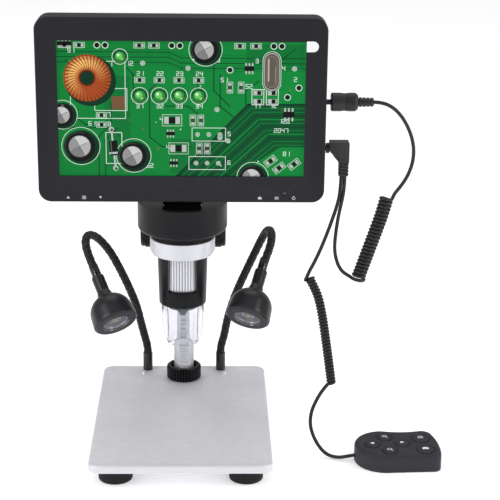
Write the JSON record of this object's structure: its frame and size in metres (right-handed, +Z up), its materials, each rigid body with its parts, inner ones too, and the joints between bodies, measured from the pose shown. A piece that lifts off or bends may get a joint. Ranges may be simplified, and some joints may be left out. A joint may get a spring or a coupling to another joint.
{
  "type": "digital microscope",
  "caption": "Digital microscope with an upright display on a tilting hinge, rack stand, gooseneck lamps, focus wheel with clear hood, curly leads and a wired remote control.",
  "frame": {"origin": "centre of the base plate's footprint, on the surface the feet stand on", "axes": "+Z up along the column, +X to the right of a person who faces the display, +Y away from that person"},
  "size_m": [0.2577, 0.165, 0.282],
  "materials": {
    "anodised_plate": "satin anodised",
    "foot_rubber": "matte",
    "screw_steel": "bright",
    "column_steel": "polished",
    "black_anodised": "satin black anodised",
    "neck_ferrule": "black anodised",
    "carriage_black": "satin black",
    "knob_black": "black, knurled",
    "silver_ring": "satin",
    "lens_black": "matte black",
    "clear_plastic": "clear",
    "green_board": "green lacquer",
    "display_plastic": "fine texture",
    "lcd_glass": "glossy",
    "jack_plastic": "moulded",
    "key_plastic": "moulded",
    "plug_plastic": "moulded",
    "lead_sleeve": "satin",
    "remote_plastic": "fine texture",
    "remote_key_rubber": "matte",
    "gooseneck_braid": "black braid",
    "lamp_black": "satin black anodised"
  },
  "bodies": {
    "stand": {"base_plate": "anodised_plate", "rubber_feet": "foot_rubber", "foot_screws": "screw_steel", "column_bar": "column_steel", "column_rack": "screw_steel", "column_lock_ring": "black_anodised", "column_bolt": "screw_steel", "neck_sockets": "neck_ferrule", "dome_screws": "screw_steel", "remote_top_shell": "remote_plastic", "remote_bottom_shell": "remote_plastic", "remote_board": "green_board", "remote_coil": "lead_sleeve", "remote_tail": "lead_sleeve"},
    "carriage": {"carriage_block": "carriage_black", "pinion_bush": "carriage_black", "holder_ring": "silver_ring", "ring_screws": "screw_steel", "barrel_housing": "black_anodised", "barrel_cap": "black_anodised", "hinge_pin": "screw_steel", "camera_board": "green_board", "focus_sleeve": "black_anodised"},
    "pinion": {"pinion_shaft": "screw_steel", "focus_knobs": "knob_black"},
    "wheel": {"focus_wheel": "silver_ring"},
    "lens": {"lens_cell": "lens_black", "led_ring": "green_board"},
    "hood": {"clear_hood": "clear_plastic"},
    "display": {"display_bezel": "display_plastic", "rear_shell": "display_plastic", "lcd_module": "lcd_glass", "driver_board": "green_board", "key_strips": "green_board", "display_screws": "screw_steel", "side_jacks": "jack_plastic", "hinge_neck": "carriage_black", "straight_plug": "plug_plastic", "angle_plug": "plug_plastic", "power_lead": "lead_sleeve", "power_coil": "lead_sleeve", "remote_lead": "lead_sleeve"},
    "lamp_left": {"gooseneck_left": "gooseneck_braid", "lamp_head_left": "lamp_black", "lamp_lens_left": "clear_plastic"},
    "lamp_right": {"gooseneck_right": "gooseneck_braid", "lamp_head_right": "lamp_black", "lamp_lens_right": "clear_plastic"},
    "menu_key_body": {"menu_key": "key_plastic"},
    "up_key_body": {"up_key": "key_plastic"},
    "down_key_body": {"down_key": "key_plastic"},
    "ok_key_body": {"ok_key": "key_plastic"},
    "shutter_key_body": {"shutter_key": "key_plastic"},
    "power_key_body": {"power_key": "key_plastic"},
    "zoom_in_key_body": {"zoom_in_key": "remote_key_rubber"},
    "left_key_body": {"left_key": "remote_key_rubber"},
    "zoom_out_key_body": {"zoom_out_key": "remote_key_rubber"},
    "right_key_body": {"right_key": "remote_key_rubber"},
    "remote_menu_key_body": {"remote_menu_key": "remote_key_rubber"},
    "snap_key_body": {"snap_key": "remote_key_rubber"}
  },
  "joints": [
    {"name": "carriage_slide", "type": "slide", "parent": "stand", "child": "carriage", "axis": [0, 0, 1], "range_m": [-0.035, 0.05], "deforming": ["remote_coil"]},
    {"name": "pinion_turn", "type": "hinge", "parent": "carriage", "child": "pinion", "pos_m": [0, 0.04858, 0.129], "axis": [1, 0, 0], "range_deg": [-533, 373]},
    {"name": "focus_wheel_turn", "type": "hinge", "parent": "carriage", "child": "wheel", "pos_m": [0, 0.017, 0.111], "axis": [0, 0, 1], "range_deg": [-150, 150]},
    {"name": "lens_focus", "type": "slide", "parent": "carriage", "child": "lens", "axis": [0, 0, 1], "range_m": [-0.0026, 0.0026]},
    {"name": "hood_pull", "type": "slide", "parent": "carriage", "child": "hood", "axis": [0, 0, -1], "range_m": [0, 0.008]},
    {"name": "display_tilt", "type": "hinge", "parent": "carriage", "child": "display", "pos_m": [0, 0.017, 0.154], "axis": [-1, 0, 0], "range_deg": [-8, 25]},
    {"name": "menu_key_press", "type": "slide", "parent": "display", "child": "menu_key_body", "axis": [0, 0, 1], "range_m": [0, 0.0005], "stiffness_N_per_m": 900, "springref_m": -0.0004},
    {"name": "up_key_press", "type": "slide", "parent": "display", "child": "up_key_body", "axis": [0, 0, 1], "range_m": [0, 0.0005], "stiffness_N_per_m": 900, "springref_m": -0.0004},
    {"name": "down_key_press", "type": "slide", "parent": "display", "child": "down_key_body", "axis": [0, 0, 1], "range_m": [0, 0.0005], "stiffness_N_per_m": 900, "springref_m": -0.0004},
    {"name": "ok_key_press", "type": "slide", "parent": "display", "child": "ok_key_body", "axis": [0, 0, 1], "range_m": [0, 0.0005], "stiffness_N_per_m": 900, "springref_m": -0.0004},
    {"name": "shutter_key_press", "type": "slide", "parent": "display", "child": "shutter_key_body", "axis": [0, 0, 1], "range_m": [0, 0.0005], "stiffness_N_per_m": 900, "springref_m": -0.0004},
    {"name": "power_key_press", "type": "slide", "parent": "display", "child": "power_key_body", "axis": [0, 0, 1], "range_m": [0, 0.0005], "stiffness_N_per_m": 900, "springref_m": -0.0004},
    {"name": "zoom_in_key_press", "type": "slide", "parent": "stand", "child": "zoom_in_key_body", "axis": [0, 0, -1], "range_m": [0, 0.0008], "stiffness_N_per_m": 700, "springref_m": -0.0004},
    {"name": "left_key_press", "type": "slide", "parent": "stand", "child": "left_key_body", "axis": [0, 0, -1], "range_m": [0, 0.0008], "stiffness_N_per_m": 700, "springref_m": -0.0004},
    {"name": "zoom_out_key_press", "type": "slide", "parent": "stand", "child": "zoom_out_key_body", "axis": [0, 0, -1], "range_m": [0, 0.0008], "stiffness_N_per_m": 700, "springref_m": -0.0004},
    {"name": "right_key_press", "type": "slide", "parent": "stand", "child": "right_key_body", "axis": [0, 0, -1], "range_m": [0, 0.0008], "stiffness_N_per_m": 700, "springref_m": -0.0004},
    {"name": "remote_menu_key_press", "type": "slide", "parent": "stand", "child": "remote_menu_key_body", "axis": [0, 0, -1], "range_m": [0, 0.0008], "stiffness_N_per_m": 700, "springref_m": -0.0004},
    {"name": "snap_key_press", "type": "slide", "parent": "stand", "child": "snap_key_body", "axis": [0, 0, -1], "range_m": [0, 0.0008], "stiffness_N_per_m": 700, "springref_m": -0.0004},
    {"name": "lamp_left_swivel", "type": "hinge", "parent": "stand", "child": "lamp_left", "pos_m": [-0.026, 0.076, 0.03], "axis": [0, 0, 1], "range_deg": [-60, 8]},
    {"name": "lamp_right_swivel", "type": "hinge", "parent": "stand", "child": "lamp_right", "pos_m": [0.026, 0.076, 0.03], "axis": [0, 0, 1], "range_deg": [-8, 60]}
  ],
  "couplings": [
    {"joint": "pinion_turn", "follows": "carriage_slide", "rad_per_m": -185.19},
    {"joint": "lens_focus", "follows": "focus_wheel_turn", "m_per_rad": 0.00095493}
  ]
}
